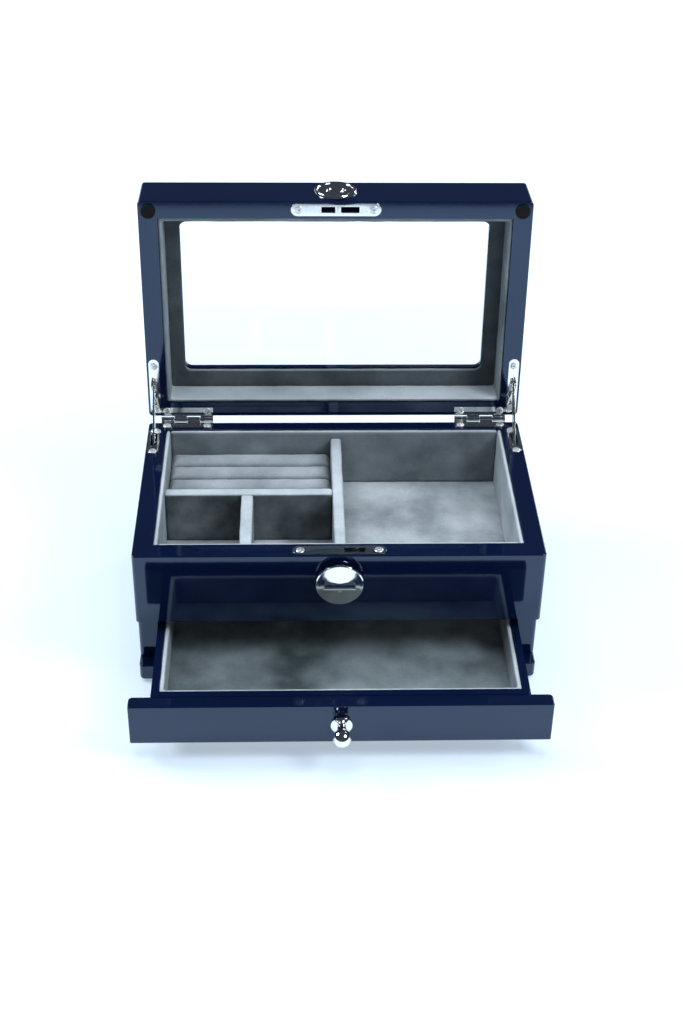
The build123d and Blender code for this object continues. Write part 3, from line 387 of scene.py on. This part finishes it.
# The two long edges on top are rounded over.
for edge in bare_roll.data.edges:
    ends = [bare_roll.data.vertices[end].co for end in edge.vertices]
    runs_along = abs(ends[0].x - ends[1].x) > roll_wide
    edge.select = runs_along and min(end.z for end in ends) > rolls_high[2] - roll_tall / 2
bpy.ops.object.mode_set(mode="EDIT")
bpy.ops.mesh.select_mode(type="EDGE")
bpy.ops.mesh.bevel(offset=roll_round, segments=12, affect="EDGES")
bpy.ops.object.mode_set(mode="OBJECT")
for number in range(roll_count):
    roll = bpy.data.objects.new(f"ring_roll_{number + 1}", bare_roll.data.copy())
    bpy.context.scene.collection.objects.link(roll)
    pick(roll)
    bpy.ops.object.mode_set(mode="EDIT")
    bpy.ops.mesh.select_all(action="SELECT")
    bpy.ops.transform.translate(value=(0, number * roll_pitch, 0))
    bpy.ops.object.mode_set(mode="OBJECT")
    soften(roll, edge=0.0010, voxel=0.0010, wave=0.0006)
    roll.data.materials.append(roll_velvet)
    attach(roll, "case")
    if number == 0:
        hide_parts("ring_rolls")
bpy.data.objects.remove(bare_roll)

# ---------------------------------------------------------------- window
# A 3 mm sheet of clear float glass, ground at the edges, dropped in from inside.
clear_glass, _ = start_finish("clear_glass", {
    "Base Color": linear("#fbffff"),
    "Roughness": 0.0,
    "IOR": 1.5,
    "Transmission Weight": 1.0,
})
glass = cad_copy("lid_glass", "window_glass")
bpy.ops.object.shade_flat()
stand_for(glass, "lid_glass", clear_glass)

# ---------------------------------------------------------------- bumpers
# Two round buttons of black rubber, let into the lid's rim, that meet the case's rim.
black_rubber, shader = start_finish("black_rubber", {
    "Base Color": linear("#06090c"), "Roughness": 0.6, "Specular IOR Level": 0.2})
place = add_node(black_rubber, "ShaderNodeTexCoord", {}, {})
grain_wide = 0.0007
grain = add_node(black_rubber, "ShaderNodeTexNoise", {
    "Scale": 1 / grain_wide, "Detail": 3.0}, {"Vector": place.outputs["Object"]})
relief = add_node(black_rubber, "ShaderNodeBump", {"Strength": 0.25, "Distance": 0.0001}, {
    "Height": grain.outputs["Fac"]})
black_rubber.node_tree.links.new(relief.outputs["Normal"], shader.inputs["Normal"])
bumpers = cad_copy("lid_bumpers", "rubber_bumpers")
bpy.ops.object.shade_smooth_by_angle(angle=radians(35))
stand_for(bumpers, "lid_bumpers", black_rubber)

# ---------------------------------------------------------------- polished fittings
# Zinc castings and pressed brass plates, polished and chromed: the hinges, stays,
# latch plates and knobs. Handling has left faint hairlines.
mirror_chrome, shader = start_finish("mirror_chrome", {
    "Base Color": linear("#f4f3f0"), "Metallic": 1.0})
place = add_node(mirror_chrome, "ShaderNodeTexCoord", {}, {})
hairline_apart = 0.0025
hairlines = add_node(mirror_chrome, "ShaderNodeTexNoise", {
    "Scale": 1 / hairline_apart, "Detail": 6.0, "Roughness": 0.7,
}, {"Vector": place.outputs["Object"]})
dulling = add_node(mirror_chrome, "ShaderNodeMapRange", {"To Min": 0.03, "To Max": 0.11}, {
    "Value": hairlines.outputs["Fac"]})
mirror_chrome.node_tree.links.new(dulling.outputs["Result"], shader.inputs["Roughness"])


def break_edges(piece, edge):
    """Take the sharpness off a metal piece's edges, and smooth its round faces."""
    pick(piece)
    bevel = piece.modifiers.new("broken_edges", "BEVEL")
    bevel.width, bevel.segments, bevel.limit_method = edge, 2, "ANGLE"
    bevel.angle_limit = radians(40)
    bevel.use_clamp_overlap = True
    bpy.ops.object.modifier_apply(modifier=bevel.name)
    even_shading(piece, radians(50))


# Each fitting, and how wide its edges are broken.
fittings = (
    ("latch_plate", 0.0001), ("strike_plate", 0.0002),
    ("left_hinge_case_leaf", 0.00015), ("right_hinge_case_leaf", 0.00015),
    ("left_hinge_lid_leaf", 0.00015), ("right_hinge_lid_leaf", 0.00015),
    ("hinge_pins", 0.0001),
    ("left_stay_guide", 0.0002), ("right_stay_guide", 0.0002),
    ("left_stay_bracket", 0.0002), ("right_stay_bracket", 0.0002),
    ("left_stay_arm", 0.0002), ("right_stay_arm", 0.0002), ("stay_rivets", 0.0001),
    ("turn_knob", 0.0002), ("knob_sleeve", 0.0002), ("drawer_knob", 0.0002),
)
for node, edge in fittings:
    fitting = cad_copy(node, node + "_chromed")
    break_edges(fitting, edge)
    stand_for(fitting, node, mirror_chrome)

# ---------------------------------------------------------------- screws
# Small cross-head screws with raised oval heads, nickel plated and tumbled, which
# leaves them bright but satin beside the polished plates.
satin_nickel, shader = start_finish("satin_nickel", {
    "Base Color": linear("#f7f7f5"), "Metallic": 0.75, "Roughness": 0.3})
place = add_node(satin_nickel, "ShaderNodeTexCoord", {}, {})
dimple_wide = 0.0009
tumbling = add_node(satin_nickel, "ShaderNodeTexNoise", {
    "Scale": 1 / dimple_wide, "Detail": 2.0}, {"Vector": place.outputs["Object"]})
relief = add_node(satin_nickel, "ShaderNodeBump", {"Strength": 0.35, "Distance": 0.0001}, {
    "Height": tumbling.outputs["Fac"]})
satin_nickel.node_tree.links.new(relief.outputs["Normal"], shader.inputs["Normal"])
bpy.ops.object.select_all(action="DESELECT")
head_r, head_deep = 0.0029, 0.0025
bpy.ops.mesh.primitive_circle_add(
    vertices=40, radius=head_r, fill_type="NGON", location=(0, 0, -head_deep))
screw_head = bpy.context.active_object
bpy.ops.object.transform_apply(location=True, rotation=True, scale=True)
bpy.ops.object.mode_set(mode="EDIT")
bpy.ops.mesh.select_all(action="SELECT")
# The sunk wall, then the oval head up to its crown at the origin: each step's radius,
# and its rise.
head_steps = (
    (head_r, 0.0020),
    (0.00275, 0.00016), (0.0024, 0.00015), (0.0017, 0.00013), (0.0006, 0.00006),
)
radius_was = head_r
for radius, rise in head_steps:
    bpy.ops.mesh.extrude_region_move(TRANSFORM_OT_translate={"value": (0, 0, rise)})
    bpy.ops.transform.resize(value=(radius / radius_was, radius / radius_was, 1))
    radius_was = radius
bpy.ops.mesh.select_all(action="SELECT")
bpy.ops.mesh.normals_make_consistent(inside=False)
bpy.ops.object.mode_set(mode="OBJECT")
# The cross recess, cut by two crossed bars.
recess_long, recess_wide, recess_deep = 0.0038, 0.0011, 0.0014
for turn in (0, 90):
    bpy.ops.mesh.primitive_cube_add(
        size=1, location=(0, 0, 0), rotation=(0, 0, radians(turn)),
        scale=(recess_long, recess_wide, recess_deep * 2))
    bar = bpy.context.active_object
    bpy.ops.object.transform_apply(location=True, rotation=True, scale=True)
    pick(screw_head)
    recess = screw_head.modifiers.new("recess", "BOOLEAN")
    recess.object, recess.operation, recess.solver = bar, "DIFFERENCE", "EXACT"
    bpy.ops.object.modifier_apply(modifier=recess.name)
    bpy.data.objects.remove(bar)
even_shading(screw_head, angle=radians(40))

# The open lid leans back 3 degrees past upright, so its rim faces the front. A screw goes
# to each loose part of the CAD node, whose head lies within crown_deep of its crown.
lid_lean = radians(3)
case_rim_faces = Vector((0, 0, 1))
lid_rim_faces = Vector((0, -math.cos(lid_lean), math.sin(lid_lean)))
crown_deep = 0.0008
for node, faces in (("case_screws", case_rim_faces), ("lid_screws", lid_rim_faces)):
    cad_copy(node, node + "_places")
    bpy.ops.object.mode_set(mode="EDIT")
    bpy.ops.mesh.select_all(action="SELECT")
    bpy.ops.mesh.separate(type="LOOSE")
    bpy.ops.object.mode_set(mode="OBJECT")
    places = []
    for single in list(bpy.context.selected_objects):
        corners = [vertex.co for vertex in single.data.vertices]
        crown = max(corner.dot(faces) for corner in corners)
        head = [corner for corner in corners if corner.dot(faces) > crown - crown_deep]
        low = Vector([min(corner[axis] for corner in head) for axis in range(3)])
        high = Vector([max(corner[axis] for corner in head) for axis in range(3)])
        middle = (low + high) / 2
        places.append(middle + faces * (crown - middle.dot(faces)))
        bpy.data.objects.remove(single)
    bpy.ops.object.select_all(action="DESELECT")
    for number, place in enumerate(sorted(places, key=tuple)):
        screw = bpy.data.objects.new(f"{node}_{number + 1}", screw_head.data.copy())
        bpy.context.scene.collection.objects.link(screw)
        # Each was driven home to its own angle.
        driven_to = radians(37 * number % 90)
        screw.matrix_world = (
            Matrix.Translation(place)
            @ faces.to_track_quat("Z", "Y").to_matrix().to_4x4()
            @ Matrix.Rotation(driven_to, 4, "Z")
        )
        pick(screw)
        bpy.ops.object.transform_apply(location=True, rotation=True, scale=True)
        screw.data.materials.append(satin_nickel)
        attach(screw, body_of_node(node))
        if number == 0:
            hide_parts(node)
bpy.data.objects.remove(screw_head)

# ---------------------------------------------------------------- badge
# A chromed zinc disc pinned to the lid's front edge above the knob: an upright wall,
# a flat rim, and a flat face below the rim with a plain oval ring raised on it.
badge_low, badge_high = (Vector(corner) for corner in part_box("lid_badge"))
badge_r = (badge_high.x - badge_low.x) / 2
badge_thick = 0.0028
badge_out = Vector((0, -math.sin(-lid_lean), math.cos(-lid_lean)))
badge_foot = (badge_low + badge_high) / 2 - badge_out * (badge_thick / 2)
bpy.ops.object.select_all(action="DESELECT")
bpy.ops.mesh.primitive_circle_add(
    vertices=96, radius=badge_r, fill_type="NGON", location=(0, 0, 0))
badge = bpy.context.active_object
badge.name = "lid_badge_chromed"
bpy.ops.object.mode_set(mode="EDIT")
bpy.ops.mesh.select_all(action="SELECT")
# Its profile from the foot of the wall to the middle, as radius and height: the wall
# ends in a chamfer, and the rim's inner side is a quarter round.
rim_height, face_height = 0.0020, 0.0009
rim_inner_r, quarter_r = badge_r - 0.0014, 0.0012
badge_profile = [
    (badge_r - 0.0004, 0.0017), (badge_r - 0.0007, rim_height), (rim_inner_r, rim_height)]
for step in range(1, 7):
    sweep = radians(14 * step)
    badge_profile.append((
        rim_inner_r - quarter_r * math.sin(sweep),
        rim_height - quarter_r * (1 - math.cos(sweep))))
badge_profile += [
    (rim_inner_r - quarter_r - 0.0004, face_height),
    (0.0060, face_height), (0.0010, face_height)]
radius_was, height_was = badge_r, 0
for radius, height in badge_profile:
    rise = height - height_was
    bpy.ops.mesh.extrude_region_move(TRANSFORM_OT_translate={"value": (0, 0, rise)})
    bpy.ops.transform.resize(value=(radius / radius_was, radius / radius_was, 1))
    radius_was, height_was = radius, height
bpy.ops.mesh.select_all(action="SELECT")
bpy.ops.mesh.normals_make_consistent(inside=False)
bpy.ops.object.mode_set(mode="OBJECT")
ring_r, ring_wire_r, ring_stretch = 0.0052, 0.0006, (1.25, 0.62, 1)
bpy.ops.mesh.primitive_torus_add(
    major_radius=ring_r, minor_radius=ring_wire_r, major_segments=64, minor_segments=12,
    location=(0, 0, face_height))
oval_ring = bpy.context.active_object
oval_ring.scale = ring_stretch
badge.select_set(True)
bpy.context.view_layer.objects.active = badge
bpy.ops.object.join()
bpy.ops.object.shade_smooth_by_angle(angle=radians(40))
badge.rotation_euler = (-lid_lean, 0, 0)
badge.location = badge_foot
pick(badge)
bpy.ops.object.transform_apply(location=True, rotation=True, scale=True)
stand_for(badge, "lid_badge", mirror_chrome)

# ---------------------------------------------------------------- lock works
# Folded and blanked steel, zinc plated to a dull grey, inside the front board.
zinc_plate, shader = start_finish("zinc_plate", {
    "Base Color": linear("#a6abb0"), "Metallic": 1.0, "Roughness": 0.35})
place = add_node(zinc_plate, "ShaderNodeTexCoord", {}, {})
spangle_wide = 0.002
spangle = add_node(zinc_plate, "ShaderNodeTexVoronoi", {"Scale": 1 / spangle_wide}, {
    "Vector": place.outputs["Object"]})
dulling = add_node(zinc_plate, "ShaderNodeMapRange", {"To Min": 0.28, "To Max": 0.45}, {
    "Value": spangle.outputs["Distance"]})
zinc_plate.node_tree.links.new(dulling.outputs["Result"], shader.inputs["Roughness"])
for node in ("lock_case", "hook_pivot_pin", "latch_hook", "knob_cam"):
    lock_piece = cad_copy(node, node + "_plated")
    break_edges(lock_piece, edge=0.0001)
    stand_for(lock_piece, node, zinc_plate)

# ---------------------------------------------------------------- felt and plywood
# Black wool felt under the base and along the drawer's path, and the bare birch
# plywood that the pads cover.
wool_felt, shader = start_finish("wool_felt", {
    "Base Color": linear("#14161a"), "Roughness": 0.95, "Sheen Weight": 0.3})
place = add_node(wool_felt, "ShaderNodeTexCoord", {}, {})
fibre_apart = 0.0008
fibres = add_node(wool_felt, "ShaderNodeTexNoise", {
    "Scale": 1 / fibre_apart, "Detail": 4.0}, {"Vector": place.outputs["Object"]})
relief = add_node(wool_felt, "ShaderNodeBump", {"Strength": 0.6, "Distance": 0.0003}, {
    "Height": fibres.outputs["Fac"]})
wool_felt.node_tree.links.new(relief.outputs["Normal"], shader.inputs["Normal"])
for node in ("felt_base", "drawer_glides"):
    felt = cad_copy(node, node + "_felt")
    break_edges(felt, edge=0.0001)
    stand_for(felt, node, wool_felt)

birch_plywood, shader = start_finish("birch_plywood", {"Roughness": 0.6})
place = add_node(birch_plywood, "ShaderNodeTexCoord", {}, {})
figure_long, figure_wide = 0.12, 0.004
along = add_node(birch_plywood, "ShaderNodeMapping", {
    "Scale": (1 / figure_long, 1 / figure_wide, 1 / figure_wide),
}, {"Vector": place.outputs["Object"]})
figure = add_node(birch_plywood, "ShaderNodeTexNoise", {"Scale": 1.0, "Detail": 5.0}, {
    "Vector": along.outputs["Vector"]})
wood = add_node(birch_plywood, "ShaderNodeValToRGB", {}, {"Fac": figure.outputs["Fac"]})
dark_end, light_end = wood.color_ramp.elements
dark_end.color, light_end.color = linear("#b8925f"), linear("#dcc092")
birch_plywood.node_tree.links.new(wood.outputs["Color"], shader.inputs["Base Color"])
for node in ("tray_floor_board", "drawer_bottom"):
    sheet = cad_copy(node, node + "_plywood")
    break_edges(sheet, edge=0.0002)
    stand_for(sheet, node, birch_plywood)
